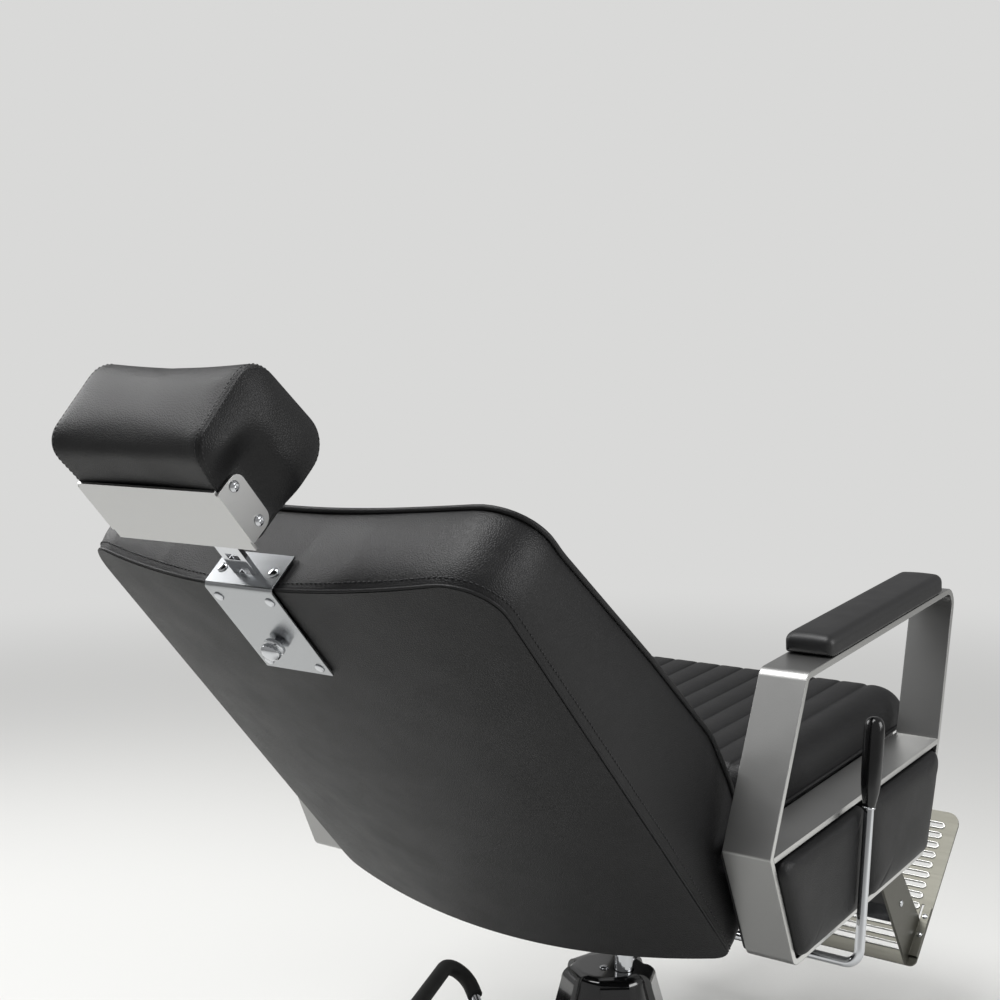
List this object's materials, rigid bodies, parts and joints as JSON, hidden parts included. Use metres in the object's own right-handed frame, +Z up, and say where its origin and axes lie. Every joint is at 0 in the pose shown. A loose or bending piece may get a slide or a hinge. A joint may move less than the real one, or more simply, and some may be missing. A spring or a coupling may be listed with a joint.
{
  "type": "reclining salon chair",
  "caption": "Reclining salon chair on a star pump base, with channelled seat, steel band arms, sliding headrest and slotted footrest.",
  "frame": {"origin": "the point on the floor where the lift rod's axis meets it", "axes": "+Z is up, the sitter faces -Y, +X is the sitter's left"},
  "size_m": [0.6998, 1.3991, 0.9812],
  "materials": {
    "gloss_enamel": "gloss black enamel on cast iron",
    "black_paint": "satin black paint on steel",
    "satin_steel": "flat steel band, bead-blasted and satin plated",
    "slotted_steel": "satin-ground stainless sheet",
    "chrome": "bright chrome plate",
    "brushed_steel": "brushed stainless sheet",
    "machined_steel": "turned steel, lightly oiled",
    "zinc_steel": "zinc-plated steel",
    "rubber": "matte black rubber",
    "gloss_plastic": "gloss black plastic",
    "black_vinyl": "smooth black upholstery vinyl",
    "grained_vinyl": "pebble-grained black upholstery vinyl",
    "matte_vinyl": "matte black vinyl stretched on a curved board",
    "plywood": "bare plywood",
    "black_paint_wood": "black-faced plywood"
  },
  "bodies": {
    "base": {"base_star": "gloss_enamel", "glides": "rubber", "pump_body": "machined_steel", "hub_screws": "chrome", "pedal_bracket": "gloss_enamel"},
    "pedal": {"pedal_axle": "machined_steel", "pedal_bow": "chrome", "pedal_sleeve": "rubber"},
    "lift": {"lift_rod": "chrome"},
    "seat": {"swivel_socket": "black_paint", "seat_plate": "black_paint", "plate_bolts": "zinc_steel", "seat_rails": "black_paint", "cross_tubes": "black_paint", "seat_pan": "black_paint_wood", "seat_cushion": "black_vinyl", "side_plate_left": "black_paint", "side_plate_right": "black_paint", "arm_loop_left": "satin_steel", "arm_loop_right": "satin_steel", "arm_bar_left": "satin_steel", "arm_bar_right": "satin_steel", "arm_pad_left": "black_vinyl", "arm_pad_right": "black_vinyl", "front_panel_left": "black_vinyl", "front_panel_right": "black_vinyl", "rear_panel_left": "black_vinyl", "rear_panel_right": "black_vinyl", "lever_bracket": "black_paint", "leg_lugs": "black_paint", "strut_bracket": "black_paint", "strut_cylinder": "black_paint"},
    "strut": {"strut_rod": "machined_steel"},
    "lever": {"lever_rod": "chrome", "lever_grip": "gloss_plastic"},
    "back": {"hinge_shaft": "machined_steel", "hinge_arms": "black_paint", "back_board": "plywood", "back_cushion": "black_vinyl", "back_band": "grained_vinyl", "back_panel": "matte_vinyl", "headrest_mount": "chrome", "mount_screws": "chrome", "post_guide": "black_paint"},
    "clamp": {"clamp_knob": "chrome", "clamp_pin": "zinc_steel"},
    "headrest": {"headrest_post": "chrome", "headrest_bracket": "brushed_steel", "headrest_cushion": "black_vinyl", "bracket_screws": "chrome"},
    "leg_rest": {"leg_axle": "machined_steel", "leg_plate_left": "slotted_steel", "leg_plate_right": "slotted_steel", "leg_beam": "chrome", "calf_board": "black_paint_wood", "calf_pad": "black_vinyl", "foot_plate": "slotted_steel", "leg_screws": "chrome"}
  },
  "joints": [
    {"name": "pedal_press", "type": "hinge", "parent": "base", "child": "pedal", "pos_m": [0.1277, 0.0427, 0.062], "axis": [-0.3746, 0.9272, 0], "range_deg": [0, 24], "stiffness_Nm_per_rad": 12, "springref_deg": -11.46},
    {"name": "lift_slide", "type": "slide", "parent": "base", "child": "lift", "axis": [0, 0, 1], "range_m": [-0.06, 0.08]},
    {"name": "swivel", "type": "hinge", "parent": "lift", "child": "seat", "pos_m": [0, 0, 0.395], "axis": [0, 0, 1], "continuous": true},
    {"name": "recline", "type": "hinge", "parent": "seat", "child": "back", "pos_m": [0, 0.225, 0.48], "axis": [1, 0, 0], "range_deg": [-20, 30]},
    {"name": "strut_slide", "type": "slide", "parent": "seat", "child": "strut", "axis": [0, 1, 0], "range_m": [-0.0225, 0.0335]},
    {"name": "headrest_slide", "type": "slide", "parent": "back", "child": "headrest", "axis": [0, 0.673, 0.7396], "range_m": [-0.06, 0.06]},
    {"name": "clamp_turn", "type": "hinge", "parent": "back", "child": "clamp", "pos_m": [0, 0.59912, 0.72771], "axis": [0, 0.7396, -0.673], "range_deg": [-180, 180]},
    {"name": "lever_pull", "type": "hinge", "parent": "seat", "child": "lever", "pos_m": [0, 0.088, 0.352], "axis": [-1, 0, 0], "range_deg": [0, 18], "stiffness_Nm_per_rad": 5, "springref_deg": -6.88},
    {"name": "leg_rest_raise", "type": "hinge", "parent": "seat", "child": "leg_rest", "pos_m": [0, -0.2, 0.44], "axis": [-1, 0, 0], "range_deg": [0, 40]}
  ],
  "couplings": [
    {"joint": "strut_slide", "follows": "recline", "m_per_rad": 0.063}
  ]
}
